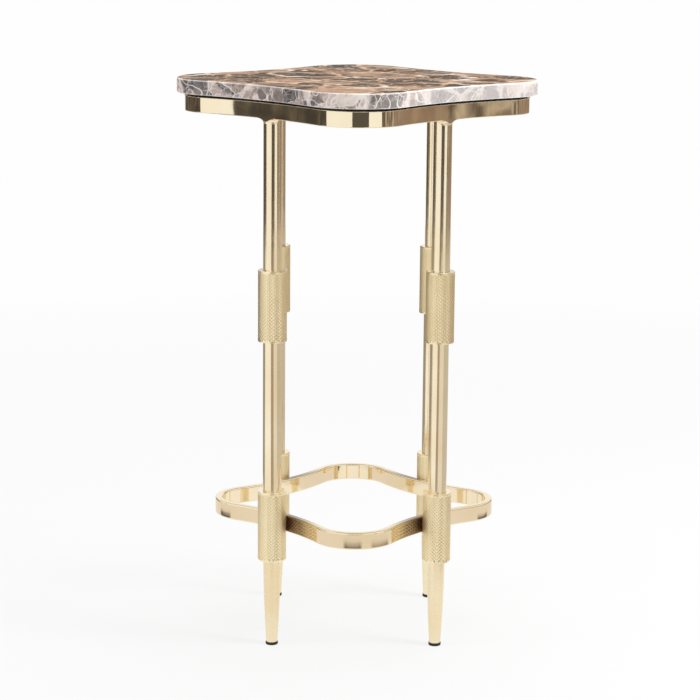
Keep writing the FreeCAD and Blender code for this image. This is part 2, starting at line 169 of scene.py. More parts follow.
def makeMarble():
    # brown breccia marble: dark angular clasts healed with tan and cream calcite, and white crystals.
    # The top is polished and deep in colour. The sawn edge is honed, so it looks paler and greyer, and
    # the eased arrises are ground chalky white, with a painted highlight in that white for the bright line
    # they catch. The edge also has painted light: it pales towards +X, the side the key lamp lights.
    look = marbleLook
    material, tree, shader = newMaterial("brecciaMarble")
    place = addNode(tree, "ShaderNodeTexCoord").outputs["Object"]
    block = addNode(tree, vectorNode, {0: place, 1: look["cut"]}, operation="ADD").outputs[0]
    flows = [block]
    for length, reach in look["warps"]:
        flow = addNode(tree, noiseNode, {"Vector": block, "Scale": perMm(length), "Detail": 3.0})
        centred = addNode(tree, vectorNode, {0: flow.outputs["Color"], 1: (0.5, 0.5, 0.5)},
                          operation="SUBTRACT")
        shift = addNode(tree, vectorNode, {0: centred.outputs[0], "Scale": 2 * reach * mm},
                        operation="SCALE")
        bend = addNode(tree, vectorNode, {0: flows[-1], 1: shift.outputs[0]}, operation="ADD")
        flows.append(bend.outputs[0])
    swept, bent = flows[1:]

    tones, seams = {}, {}
    for size, coordinates in (("clast", bent), ("shard", bent), ("chip", swept)):
        spaced = {"Vector": coordinates, "Scale": perMm(look[size])}
        cell = addNode(tree, cellNode, spaced).outputs["Color"]
        tones[size] = addNode(tree, "ShaderNodeSeparateColor", {"Color": cell}).outputs["Red"]
        seams[size] = addNode(tree, cellNode, spaced, feature="DISTANCE_TO_EDGE").outputs["Distance"]
    noise = {}
    for name, coordinates, detail, coarseness in (
            ("spread", block, 3.0, 0.5), ("fibre", bent, 5.0, 0.5), ("cloud", bent, 5.0, 0.65),
            ("crack", block, 1.5, 0.5), ("spot", bent, 3.0, 0.5), ("grain", block, 2.0, 0.5)):
        noise[name] = addNode(tree, noiseNode, {"Vector": coordinates, "Scale": perMm(look[name]),
                              "Detail": detail, "Roughness": coarseness}).outputs["Fac"]

    # calcite between the clasts: wide in some patches and thin in others
    thinLevel, wideLevel = look["spreadRange"]
    seamReach = addNode(tree, rangeNode, {"Value": noise["spread"], "From Min": thinLevel,
                        "From Max": wideLevel, "To Min": look["thinSeam"], "To Max": look["wideSeam"]})
    sway = addNode(tree, mathNode, {0: noise["fibre"], 1: 0.5}, operation="SUBTRACT")
    frayed = addNode(tree, mathNode, {0: sway.outputs[0], 1: look["fray"], 2: seams["clast"]},
                     operation="MULTIPLY_ADD")
    soft = addNode(tree, rangeNode, {"Value": frayed.outputs[0], "From Min": 0.0,
                   "From Max": seamReach.outputs[0], "To Min": 1.0, "To Max": 0.0}).outputs[0]
    calcite = addNode(tree, mathNode, {0: soft, 1: look["seamGain"]}, operation="MULTIPLY",
                      use_clamp=True).outputs[0]
    edgeSeam = addNode(tree, mathNode, {0: calcite, 1: look["edgeSeamAmount"]},
                       operation="MULTIPLY").outputs[0]

    # broken veins and lines round the shards, hairlines round the chips, and cracks that wander about
    breakFrom, breakTo = look["breaks"]
    broken = addNode(tree, rangeNode, {"Value": noise["fibre"], "From Min": breakFrom,
                     "From Max": breakTo}).outputs[0]
    lines = {}
    for name, size, amount in (("vein", "shard", 1.0), ("line", "shard", 1.0),
                               ("hair", "chip", look["hairAmount"])):
        line = addNode(tree, rangeNode, {"Value": seams[size], "From Min": 0.0,
                       "From Max": look[name + "Width"], "To Min": amount, "To Max": 0.0})
        lines[name] = addNode(tree, mathNode, {0: line.outputs[0], 1: broken},
                              operation="MULTIPLY").outputs[0]
    offMiddle = addNode(tree, mathNode, {0: noise["crack"], 1: 0.5}, operation="SUBTRACT")
    nearMiddle = addNode(tree, mathNode, {0: offMiddle.outputs[0]}, operation="ABSOLUTE")
    crack = addNode(tree, rangeNode, {"Value": nearMiddle.outputs[0], "From Min": 0.0,
                    "From Max": look["crackWidth"], "To Min": 1.0, "To Max": 0.0}).outputs[0]
    for name in ("vein", "line"):
        lines[name] = addNode(tree, mathNode, {0: lines[name], 1: crack}, operation="MAXIMUM").outputs[0]

    # white crystals, more of them towards the rim
    innerLevel, outerLevel = look["spotLevels"]
    fromMiddle = addNode(tree, vectorNode, {0: place}, operation="LENGTH").outputs["Value"]
    spotLevel = addNode(tree, rangeNode, {"Value": fromMiddle, "From Min": look["spotsFrom"],
                        "From Max": look["spotsTo"], "To Min": innerLevel, "To Max": outerLevel})
    spotEdge = addNode(tree, mathNode, {0: noise["spot"], 1: spotLevel.outputs[0]}, operation="SUBTRACT")
    white = addNode(tree, rangeNode, {"Value": spotEdge.outputs[0], "From Min": 0.0,
                    "From Max": look["spotBlur"]}).outputs[0]

    # painted light: the sawn edge pales towards +X, the side the key lamp lights, as if overexposed there
    sideways = addNode(tree, "ShaderNodeSeparateXYZ", {0: place}).outputs["X"]
    paintedEdgeLight = addNode(tree, rangeNode, {"Value": sideways, "From Min": look["paintedLightFrom"],
                       "From Max": look["paintedLightTo"], "To Min": 0.0,
                       "To Max": look["paintedLightAmount"]}).outputs[0]

    # polished top: mostly the clast's own tone. Honed edge: shards and chips show more, with white lines
    levels = {**tones, "cloud": noise["cloud"]}
    colours, calciteColours = {}, {}
    for side in ("top", "edge"):
        level = 0.0
        for part, share in look[side + "Shares"].items():
            level = addNode(tree, mathNode, {0: levels[part], 1: share, 2: level},
                            operation="MULTIPLY_ADD").outputs[0]
        colours[side] = addNode(tree, rampNode, {"Fac": level}, stops=look[side + "Tones"]).outputs["Color"]
        calciteColours[side] = addNode(tree, rampNode, {"Fac": noise["fibre"]},
                                       stops=look[side + "Calcite"]).outputs["Color"]
    hairColour = linear(look["hairTone"])
    layers = {                  # amount and colour, from the lowest up
        "top": [(lines["vein"], linear(look["veinTone"])), (calcite, calciteColours["top"]),
                (white, linear(look["crystalTone"]))],
        "edge": [(edgeSeam, calciteColours["edge"]), (lines["hair"], hairColour),
                 (lines["line"], hairColour), (paintedEdgeLight, linear(look["paintedLightTone"]))],
    }
    for side, stack in layers.items():
        for amount, over in stack:
            colours[side] = addNode(tree, mixNode, {0: amount, mixA: colours[side], mixB: over},
                                    data_type="RGBA").outputs[mixOut]

    # the surface's lean tells top, edge and arris apart
    normal = addNode(tree, "ShaderNodeNewGeometry").outputs["Normal"]
    lean = addNode(tree, "ShaderNodeSeparateXYZ", {0: normal}).outputs["Z"]
    lastEdge, firstTop = look["topLean"]
    upright = addNode(tree, rangeNode, {"Value": lean, "From Min": lastEdge, "From Max": firstTop,
                      "To Min": 1.0, "To Max": 0.0}).outputs[0]
    slope = addNode(tree, mathNode, {0: lean}, operation="ABSOLUTE").outputs[0]
    # the arris white is partly the ground stone's own paleness and partly a painted highlight
    (startFrom, startTo), (endFrom, endTo) = look["arrisLean"]
    arrisStart = addNode(tree, rangeNode, {"Value": slope, "From Min": startFrom, "From Max": startTo})
    arrisEnd = addNode(tree, rangeNode, {"Value": slope, "From Min": endFrom, "From Max": endTo,
                       "To Min": look["arrisAmount"], "To Max": 0.0})
    arris = addNode(tree, mathNode, {0: arrisStart.outputs[0], 1: arrisEnd.outputs[0]},
                    operation="MULTIPLY")
    colour = addNode(tree, mixNode, {0: upright, mixA: colours["top"], mixB: colours["edge"]},
                     data_type="RGBA")
    eased = addNode(tree, mixNode, {0: arris.outputs[0], mixA: colour.outputs[mixOut],
                    mixB: linear(look["arrisChalkAndHighlightTone"])}, data_type="RGBA")
    polished, honed = look["roughness"]
    rough = addNode(tree, rangeNode, {"Value": upright, "To Min": polished, "To Max": honed})
    roughness = addNode(tree, mathNode, {0: noise["grain"], 1: look["grainRoughness"], 2: rough.outputs[0]},
                        operation="MULTIPLY_ADD")
    pits = addNode(tree, "ShaderNodeBump", {"Height": noise["grain"], "Strength": look["pitStrength"],
                   "Distance": look["pitDepth"]})
    tree.links.new(eased.outputs[mixOut], shader.inputs["Base Color"])
    tree.links.new(roughness.outputs[0], shader.inputs["Roughness"])
    tree.links.new(pits.outputs[0], shader.inputs["Normal"])
    shader.inputs["IOR"].default_value = 1.5
    return material


# Brasses

alongLeg = (1.0, 1.0, 0.02)     # marks drawn out along Z
roundLeg = (0.05, 0.05, 1.0)    # marks drawn out round a turned piece
allWays = (1.0, 1.0, 1.0)

# light and deep are the colour where the metal is clean and where it has dulled. Wobble is the slow
# unevenness that hand polishing leaves, marks are what the last wheel or blast leaves, both as length and
# height in mm. The groove colour is painted shade at the bottom of a knurl's valleys, and the ring's
# darkening beside the legs is painted shade too.
brassLooks = {
    "mirrorBrass": {"light": "#FAEDD0", "deep": "#F2E0BC", "roughness": (0.03, 0.06),
                    "wobble": (26.0, 0.12), "marks": (0.9, 0.0004), "drawn": alongLeg},
    "drawnTubeBrass": {"light": "#FAEDD0", "deep": "#F2E0BC", "roughness": (0.09, 0.13),
                       "wobble": (26.0, 0.12), "marks": (0.9, 0.0004), "drawn": alongLeg},
    "buffedBrass": {"light": "#F8E9CB", "deep": "#EFDCB6", "roughness": (0.04, 0.07),
                    "wobble": (40.0, 0.06), "marks": (0.9, 0.0008), "drawn": roundLeg,
                    # painted shade: darkens the ring beside the legs, where it reflects the sleeves' shaded
                    # side
                    "paintedShade": {"near": 18 * mm, "far": 68 * mm, "blend": 10 * mm, "outward": 50 * mm,
                              "colour": "#8C7868"}},
    "satinTurnedBrass": {"light": "#F8EAC9", "deep": "#EFDAB0", "roughness": (0.26, 0.30),
                         "wobble": (30.0, 0.02), "marks": (0.6, 0.0003), "drawn": roundLeg},
    "blastedKnurledBrass": {"light": "#FFF0C8", "deep": "#F8E4B8", "roughness": (0.28, 0.34),
                            "wobble": (14.0, 0.02), "marks": (0.5, 0.001), "drawn": allWays,
                            "grooveShade": "#EAD7AC"},
    "turnedRimBrass": {"light": "#FAEDD0", "deep": "#F2E0BC", "roughness": (0.08, 0.14),
                       "wobble": (20.0, 0.01), "marks": (0.4, 0.0006), "drawn": roundLeg},
    "rawBrass": {"light": "#D9BC84", "deep": "#B9975C", "roughness": (0.30, 0.45),
                 "wobble": (12.0, 0.02), "marks": (0.7, 0.003), "drawn": allWays},
}
brassWearAndShade = {
    "dullPatch": 2.0,           # length of the dulled patches, times the wobble's
    "dullRange": (0.35, 0.75),  # levels of their noise, from clean to dulled
    "markRange": (0.3, 0.7),    # levels of the marks' noise, from smooth to rough
    "grooveShadeFall": 3.0,          # a higher power keeps the painted groove shade nearer its bottom
}


def addPaintedShade(tree, place, colour, paintedShade):
    # painted shade on the outward face beside each leg, on the side of the front and back lobes: it darkens
    # the ring there in place of the sleeve's dark reflection and the shade in the corner between ring and
    # sleeve
    legMiddle = sum(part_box("foot_back_right"), Vector()) / 2
    folded = addNode(tree, vectorNode, {0: place}, operation="ABSOLUTE").outputs[0]
    level = addNode(tree, vectorNode, {0: folded, 1: (1.0, 1.0, 0.0)}, operation="MULTIPLY").outputs[0]
    offLeg = addNode(tree, vectorNode, {0: level, 1: (legMiddle.x, legMiddle.y, 0.0)}, operation="DISTANCE")
    near = addNode(tree, rangeNode, {"Value": offLeg.outputs["Value"], "From Min": paintedShade["near"],
                   "From Max": paintedShade["far"], "To Min": 1.0, "To Max": 0.0}, interpolation_type="SMOOTHSTEP")
    normal = addNode(tree, "ShaderNodeNewGeometry").outputs["Normal"]
    facing = addNode(tree, vectorNode, {0: normal, 1: place}, operation="DOT_PRODUCT").outputs["Value"]
    outward = addNode(tree, mathNode, {0: facing, 1: paintedShade["outward"]}, operation="GREATER_THAN").outputs[0]
    axes = addNode(tree, "ShaderNodeSeparateXYZ", {0: folded}).outputs
    pastLeg = addNode(tree, mathNode, {0: axes["Y"], 1: axes["X"]}, operation="SUBTRACT").outputs[0]
    lobeSide = addNode(tree, rangeNode, {"Value": pastLeg, "From Min": -paintedShade["blend"],
                       "From Max": paintedShade["blend"]})
    seen = addNode(tree, mathNode, {0: near.outputs[0], 1: outward}, operation="MULTIPLY").outputs[0]
    amount = addNode(tree, mathNode, {0: seen, 1: lobeSide.outputs[0]}, operation="MULTIPLY").outputs[0]
    return addNode(tree, mixNode, {0: amount, mixA: colour, mixB: linear(paintedShade["colour"])},
                   data_type="RGBA").outputs[mixOut]


def makeBrass(name):
    # brass: a pale yellow mirror that turns whiter as it is polished and tan where it has dulled
    look = brassLooks[name]
    swellSize, swellHeight = look["wobble"]
    markSize, markHeight = look["marks"]
    material, tree, shader = newMaterial(name)
    place = addNode(tree, "ShaderNodeTexCoord").outputs["Object"]
    dull = addNode(tree, noiseNode, {"Vector": place, "Scale": perMm(swellSize * brassWearAndShade["dullPatch"]),
                   "Detail": 4.0})
    colour = addNode(tree, rampNode, {"Fac": dull.outputs["Fac"]},
                     stops=list(zip(brassWearAndShade["dullRange"], (look["light"], look["deep"]))))
    tint = colour.outputs["Color"]
    # painted shade: darkens the bottom of the knurl's valleys
    if "grooveShade" in look:
        depth = addNode(tree, "ShaderNodeAttribute", attribute_name="groove").outputs["Fac"]
        deepest = addNode(tree, mathNode, {0: depth, 1: brassWearAndShade["grooveShadeFall"]},
                          operation="POWER").outputs[0]
        tint = addNode(tree, mixNode, {0: deepest, mixA: tint, mixB: linear(look["grooveShade"])},
                       data_type="RGBA").outputs[mixOut]
    if "paintedShade" in look:
        tint = addPaintedShade(tree, place, tint, look["paintedShade"])
    swell = addNode(tree, noiseNode, {"Vector": place, "Scale": perMm(swellSize), "Detail": 1.0})
    swellBump = addNode(tree, "ShaderNodeBump", {"Height": swell.outputs["Fac"], "Strength": 1.0,
                        "Distance": swellHeight * mm})
    stretched = addNode(tree, "ShaderNodeMapping", {"Vector": place, "Scale": look["drawn"]})
    marks = addNode(tree, noiseNode, {"Vector": stretched.outputs[0], "Scale": perMm(markSize),
                    "Detail": 3.0})
    marksBump = addNode(tree, "ShaderNodeBump", {"Height": marks.outputs["Fac"], "Strength": 1.0,
                        "Distance": markHeight * mm, "Normal": swellBump.outputs[0]})
    smoothLevel, roughLevel = brassWearAndShade["markRange"]
    smoothest, roughest = look["roughness"]
    rough = addNode(tree, rangeNode, {"Value": marks.outputs["Fac"], "From Min": smoothLevel,
                    "From Max": roughLevel, "To Min": smoothest, "To Max": roughest})
    tree.links.new(tint, shader.inputs["Base Color"])
    tree.links.new(rough.outputs[0], shader.inputs["Roughness"])
    tree.links.new(marksBump.outputs[0], shader.inputs["Normal"])
    shader.inputs["Metallic"].default_value = 1.0
    return material


# Steel and rubber

steelLook = {
    "cloud": 6.0,               # mm, cloudy patches
    "tones": [(0.3, "#B9BDC1"), (0.7, "#9EA2A6")],
    "roughness": (0.25, 0.45),
}
rubberLook = {
    "skin": 0.8,                # mm, orange peel
    "skinStrength": 0.4,
    "skinDepth": 0.05 * mm,
    "dust": 7.0,                # mm, dusty patches
    "tones": [(0.4, "#0C0B0B"), (0.8, "#1A1918")],
    "roughness": 0.62,
}


def makeSteel():
    # zinc-plated steel: cool grey, soft sheen, faintly cloudy from the bath
    look = steelLook
    material, tree, shader = newMaterial("zincPlatedSteel")
    place = addNode(tree, "ShaderNodeTexCoord").outputs["Object"]
    cloud = addNode(tree, noiseNode, {"Vector": place, "Scale": perMm(look["cloud"]), "Detail": 3.0})
    colour = addNode(tree, rampNode, {"Fac": cloud.outputs["Fac"]}, stops=look["tones"])
    smoothest, roughest = look["roughness"]
    rough = addNode(tree, rangeNode, {"Value": cloud.outputs["Fac"], "To Min": smoothest,
                    "To Max": roughest})
    tree.links.new(colour.outputs["Color"], shader.inputs["Base Color"])
    tree.links.new(rough.outputs[0], shader.inputs["Roughness"])
    shader.inputs["Metallic"].default_value = 1.0
    return material


def makeRubber():
    # moulded black rubber: matt, with a fine orange-peel skin and a little dust
    look = rubberLook
    material, tree, shader = newMaterial("mouldedRubber")
    place = addNode(tree, "ShaderNodeTexCoord").outputs["Object"]
    skin = addNode(tree, noiseNode, {"Vector": place, "Scale": perMm(look["skin"]), "Detail": 2.0})
    dust = addNode(tree, noiseNode, {"Vector": place, "Scale": perMm(look["dust"]), "Detail": 3.0})
    colour = addNode(tree, rampNode, {"Fac": dust.outputs["Fac"]}, stops=look["tones"])
    bump = addNode(tree, "ShaderNodeBump", {"Height": skin.outputs["Fac"], "Strength": look["skinStrength"],
                   "Distance": look["skinDepth"]})
    tree.links.new(colour.outputs["Color"], shader.inputs["Base Color"])
    tree.links.new(bump.outputs[0], shader.inputs["Normal"])
    shader.inputs["Roughness"].default_value = look["roughness"]
    return material


brass = {name: makeBrass(name) for name in brassLooks}
rubber = makeRubber()
steel = makeSteel()
tubes = [part + "_tube_" + place for part in ("upper", "lower") for place in legPlaces]
dress(makeMarble(), "marble_top")
dress(brass["mirrorBrass"], "apron_band")
dress(brass["drawnTubeBrass"], *tubes)
dress(brass["buffedBrass"], "stretcher_ring")
dress(brass["satinTurnedBrass"], *["foot_" + place for place in legPlaces])
dress(brass["rawBrass"], "top_inserts", "ring_dowels", *["fixing_tab_" + place for place in lobePlaces])
dress(steel, "top_screws", "top_washers", *["tie_rod_" + place for place in legPlaces])
dress(rubber, "seat_gasket", *["glide_" + place for place in legPlaces])
print("materials:", len(bpy.data.materials))


# Knurled sleeves

sleeve = {
    "teeth": 28,                # diamonds round the sleeve, 3.5 mm apart
    "rows": 20,                 # diamonds along it, 3.7 mm apart
    "depth": 0.34 * mm,
    "chamfer": 0.4 * mm,
    "land": 1.2 * mm,           # plain rim, chamfer and all
    "tubeBore": 10.1 * mm,      # radii
    "footBore": 8.1 * mm,
    "rodHole": 4.5 * mm,
    "middleSockets": (24 * mm, 24 * mm),    # depths, lower and upper
    "lowerSockets": (20 * mm, 18 * mm),
    "seatDepth": 1.6 * mm,      # flat for the ring, on the inner side
    "weld": 0.005 * mm,         # points nearer than this are joined
    "creaseAngle": math.radians(30),        # turned faces that meet at more than this keep a sharp edge
}


def latheStrip(profile, centre, segments):
    # turns an open run of (radius, height) points round an upright axis
    points, faces = [], []
    for step in range(segments):
        angle = 2 * math.pi * step / segments
        east, north = math.cos(angle), math.sin(angle)
        for radius, height in profile:
            points.append((centre.x + radius * east, centre.y + radius * north, height))
    run = len(profile)
    for step in range(segments):
        here, there = step * run, (step + 1) % segments * run
        for k in range(run - 1):
            faces.append((here + k, there + k, there + k + 1, here + k + 1))
    mesh = bpy.data.meshes.new("sleeveCore")
    mesh.from_pydata(points, [], faces)
    return mesh


def makeKnurlTree():
    # wraps a grid round the sleeve with every other point sunk, which leaves rows of small pyramids,
    # flattens it where the ring sits, and closes it onto the turned core
    tree = bpy.data.node_groups.new("knurl", "GeometryNodeTree")
    sizes = [("Axis", "Vector"), ("Low", "Float"), ("High", "Float"), ("Radius", "Float"), ("Teeth", "Int"),
             ("Rows", "Int"), ("Depth", "Float"), ("Inward", "Vector"), ("Seat", "Float"),
             ("Seat Low", "Float"), ("Seat High", "Float"), ("Rim Finish", "Material"),
             ("Knurl Finish", "Material")]
    tree.interface.new_socket("Core", in_out="INPUT", socket_type="NodeSocketGeometry")
    for name, kind in sizes:
        tree.interface.new_socket(name, in_out="INPUT", socket_type="NodeSocket" + kind)
    tree.interface.new_socket("Sleeve", in_out="OUTPUT", socket_type="NodeSocketGeometry")
    given = addNode(tree, "NodeGroupInput").outputs
    columns = addNode(tree, mathNode, {0: given["Teeth"], 1: 2.0}, operation="MULTIPLY").outputs[0]
    rows = addNode(tree, mathNode, {0: given["Rows"], 1: 2.0}, operation="MULTIPLY").outputs[0]
    columnPoints = addNode(tree, mathNode, {0: columns, 1: 1.0}, operation="ADD").outputs[0]
    rowPoints = addNode(tree, mathNode, {0: rows, 1: 1.0}, operation="ADD").outputs[0]
    grid = addNode(tree, "GeometryNodeMeshGrid", {"Size X": 1.0, "Size Y": 1.0, "Vertices X": columnPoints,
                   "Vertices Y": rowPoints})
    gridPoint = addNode(tree, "GeometryNodeInputPosition").outputs[0]
    flat = addNode(tree, "ShaderNodeSeparateXYZ", {0: gridPoint})
    across = addNode(tree, mathNode, {0: flat.outputs["X"], 1: 0.5}, operation="ADD").outputs[0]
    along = addNode(tree, mathNode, {0: flat.outputs["Y"], 1: 0.5}, operation="ADD").outputs[0]

    # points whose column and row add up to an even number are sunk, but none on the rims
    column = addNode(tree, mathNode, {0: across, 1: columns}, operation="MULTIPLY").outputs[0]
    count = addNode(tree, mathNode, {0: along, 1: rows, 2: column}, operation="MULTIPLY_ADD").outputs[0]
    whole = addNode(tree, mathNode, {0: count}, operation="ROUND").outputs[0]
    odd = addNode(tree, mathNode, {0: whole, 1: 2.0}, operation="MODULO").outputs[0]
    offMiddle = addNode(tree, mathNode, {0: flat.outputs["Y"]}, operation="ABSOLUTE").outputs[0]
    rimStart = 0.4999           # the grid's own rim is 0.5 from its middle
    atRim = addNode(tree, mathNode, {0: offMiddle, 1: rimStart}, operation="GREATER_THAN").outputs[0]
    crest = addNode(tree, mathNode, {0: odd, 1: atRim}, operation="MAXIMUM").outputs[0]
    valley = addNode(tree, mathNode, {0: 1.0, 1: crest}, operation="SUBTRACT").outputs[0]
    sunk = addNode(tree, mathNode, {0: valley, 1: given["Depth"]}, operation="MULTIPLY").outputs[0]
    radius = addNode(tree, mathNode, {0: given["Radius"], 1: sunk}, operation="SUBTRACT").outputs[0]

    # the grid wraps round the axis
    angle = addNode(tree, mathNode, {0: across, 1: 2 * math.pi}, operation="MULTIPLY").outputs[0]
    tall = addNode(tree, mathNode, {0: given["High"], 1: given["Low"]}, operation="SUBTRACT").outputs[0]
    height = addNode(tree, mathNode, {0: along, 1: tall, 2: given["Low"]},
                     operation="MULTIPLY_ADD").outputs[0]
    east = addNode(tree, mathNode, {0: angle}, operation="COSINE").outputs[0]
    north = addNode(tree, mathNode, {0: angle}, operation="SINE").outputs[0]
    ringPoint = addNode(tree, "ShaderNodeCombineXYZ", {"X": east, "Y": north}).outputs[0]
    spun = addNode(tree, vectorNode, {0: ringPoint, "Scale": radius}, operation="SCALE").outputs[0]
    raised = addNode(tree, "ShaderNodeCombineXYZ", {"Z": height}).outputs[0]
    wrapped = addNode(tree, vectorNode, {0: spun, 1: raised}, operation="ADD").outputs[0]

    # where the ring sits, what stands out past its flat is pushed back onto it
    reach = addNode(tree, vectorNode, {0: wrapped, 1: given["Inward"]},
                    operation="DOT_PRODUCT").outputs["Value"]
    proud = addNode(tree, mathNode, {0: reach, 1: given["Seat"]}, operation="SUBTRACT").outputs[0]
    excess = addNode(tree, mathNode, {0: proud, 1: 0.0}, operation="MAXIMUM").outputs[0]
    above = addNode(tree, mathNode, {0: height, 1: given["Seat Low"]}, operation="GREATER_THAN").outputs[0]
    below = addNode(tree, mathNode, {0: height, 1: given["Seat High"]}, operation="LESS_THAN").outputs[0]
    beside = addNode(tree, mathNode, {0: above, 1: below}, operation="MULTIPLY").outputs[0]
    depth = addNode(tree, mathNode, {0: excess, 1: beside}, operation="MULTIPLY").outputs[0]
    cut = addNode(tree, vectorNode, {0: given["Inward"], "Scale": depth}, operation="SCALE").outputs[0]
    seated = addNode(tree, vectorNode, {0: wrapped, 1: cut}, operation="SUBTRACT").outputs[0]
    placed = addNode(tree, vectorNode, {0: seated, 1: given["Axis"]}, operation="ADD").outputs[0]

    # the valleys are marked for the finish to darken with painted shade, and the band is joined to the core
    grooved = addNode(tree, "GeometryNodeStoreNamedAttribute", {"Geometry": grid.outputs["Mesh"],
                      "Name": "groove", "Value": valley}, data_type="FLOAT", domain="POINT")
    band = addNode(tree, "GeometryNodeSetPosition", {"Geometry": grooved.outputs[0], "Position": placed})
    facets = addNode(tree, "GeometryNodeTriangulate", {"Mesh": band.outputs[0]})
    marked = addNode(tree, "GeometryNodeStoreNamedAttribute", {"Geometry": facets.outputs[0],
                     "Name": "knurled", "Value": True}, data_type="BOOLEAN", domain="FACE")
    both = addNode(tree, "GeometryNodeJoinGeometry", {0: given["Core"]})
    tree.links.new(marked.outputs[0], both.inputs[0])
    welded = addNode(tree, "GeometryNodeMergeByDistance", {"Geometry": both.outputs[0],
                     "Distance": sleeve["weld"]})
    solid = addNode(tree, "GeometryNodeRealizeInstances", {"Geometry": welded.outputs[0]})
    rims = addNode(tree, "GeometryNodeSetMaterial", {"Geometry": solid.outputs[0],
                   "Material": given["Rim Finish"]})
    knurled = addNode(tree, "GeometryNodeInputNamedAttribute", {"Name": "knurled"}, data_type="BOOLEAN")
    done = addNode(tree, "GeometryNodeSetMaterial", {"Geometry": rims.outputs[0],
                   "Selection": knurled.outputs[0], "Material": given["Knurl Finish"]})
    addNode(tree, "NodeGroupOutput", {0: done.outputs[0]})
    return tree


def makeSleeve(tree, kind, place):
    node = f"{kind}_sleeve_{place}"
    low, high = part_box(node)
    centre = (low + high) / 2
    radius = (high.x - low.x) / 2
    chamfer, land = sleeve["chamfer"], sleeve["land"]
    tubeBore, rodHole = sleeve["tubeBore"], sleeve["rodHole"]
    lowBore = sleeve["footBore"] if kind == "lower" else tubeBore
    lowDepth, highDepth = sleeve[kind + "Sockets"]
    lowFloor, highFloor = low.z + lowDepth, high.z - highDepth
    profile = [                 # radius and height, from the upper rim through the bore to the lower rim
        (radius, high.z - land), (radius, high.z - chamfer), (radius - chamfer, high.z), (tubeBore, high.z),
        (tubeBore, highFloor), (rodHole, highFloor), (rodHole, lowFloor), (lowBore, lowFloor),
        (lowBore, low.z), (radius - chamfer, low.z), (radius, low.z + chamfer), (radius, low.z + land),
    ]
    piece = bpy.data.objects.new(f"knurled_{node}", latheStrip(profile, centre, 2 * sleeve["teeth"]))
    bpy.context.scene.collection.objects.link(piece)
    ringLow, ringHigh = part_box("stretcher_ring")
    inward = Vector((-centre.x, -centre.y, 0)).normalized()
    inputs = {
        "Axis": (centre.x, centre.y, 0), "Low": low.z + land, "High": high.z - land, "Radius": radius,
        "Teeth": sleeve["teeth"], "Rows": sleeve["rows"], "Depth": sleeve["depth"], "Inward": tuple(inward),
        "Seat": radius - sleeve["seatDepth"], "Seat Low": ringLow.z, "Seat High": ringHigh.z,
        "Rim Finish": brass["turnedRimBrass"], "Knurl Finish": brass["blastedKnurledBrass"],
    }
    knurl = piece.modifiers.new("knurl", "NODES")
    knurl.node_group = tree
    for socket in tree.interface.items_tree:
        if socket.name in inputs:
            knurl[socket.identifier] = inputs[socket.name]
    evaluated = piece.evaluated_get(bpy.context.evaluated_depsgraph_get())
    piece.data = bpy.data.meshes.new_from_object(evaluated)
    piece.modifiers.clear()
    shell = bmesh.new()
    shell.from_mesh(piece.data)
    bmesh.ops.recalc_face_normals(shell, faces=shell.faces)
    rimIndex = piece.data.materials.find("turnedRimBrass")
    for face in shell.faces:
        face.smooth = face.material_index == rimIndex
    for edge in shell.edges:
        edge.smooth = edge.calc_face_angle(0.0) < sleeve["creaseAngle"]
    shell.to_mesh(piece.data)
    shell.free()
    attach(piece, "root")
    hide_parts(node)
    return piece


knurlTree = makeKnurlTree()
sleeves = [makeSleeve(knurlTree, kind, place) for kind in ("middle", "lower") for place in legPlaces]
print("sleeves:", len(sleeves), "of", len(sleeves[0].data.polygons), "faces")


# Studio: white all round, with drapes and cards that only reflections see, as beside a polished object

studio = {
    "white": 0.99,
    "ambient": 0.58,            # the same white, as light on the object
    "paper": "#D4D4D4",         # the floor, where it takes shadow
    "floorSize": 14.0,          # m
    "floorGlow": 0.80,          # share of the floor's white that no shadow reaches, beside the table
    "glowFrom": 0.6,            # m from the middle, where that share starts to rise
    "glowTo": 2.2,              # m, from where the floor is all white
    "mottle": 300.0,            # mm, patches on the mottled drapes
    "mottleStretch": (1.0, 1.0, 6.0),
    "mottleRange": (0.40, 0.62),    # noise levels of their two tones
    "sectorStep": 10.0,         # degrees between the folds of a drape or card
    "cardLift": 2 * mm,         # off the floor
    "fadeInwards": (1.0, 0.4),  # share of a dark strip's width, from where it starts to where it is darkest
    "fadeAside": (0.5, 0.38),   # share of its length from its middle, the same way
    "paleFloor": "#EEE9E5",     # what the dark strips fade to
}
wall, tall = 3.1, 0.95          # m, distance and height of the drapes
# degrees are from the front, + to the right, and the rest is in m
drapes = [                      # degrees from and to, distance, foot and head, tones
    (-150.0, -78.5, wall, 0.0, tall, ["#464240", "#6C645A"]),
    (-14.0, 23.0, wall, 0.0, tall, ["#5A5550"]),
    (54.0, 63.0, wall, 0.0, tall, ["#4E453E", "#857869"]),
    (63.0, 92.0, wall, 0.0, tall, ["#62584F", "#C2B4A6"]),
    (92.0, 150.0, wall, 0.0, tall, ["#8E7C70", "#A89486"]),
    (145.0, 215.0, 1.0, 0.60, 2.4, ["#8C857D"]),
]
cards = [                       # degrees from and to, near and far edge, tone
    (-180.0, -95.0, 0.70, wall, "#A09A92"),
    (-18.0, 12.0, 0.70, wall, "#B0A090"),
    (12.0, 55.0, 0.70, wall, "#E7E3DC"),
    (55.0, 180.0, 0.70, wall, "#CBC5BC"),
    (-180.0, 180.0, 0.45, 0.70, "#EEE9E5"),
]
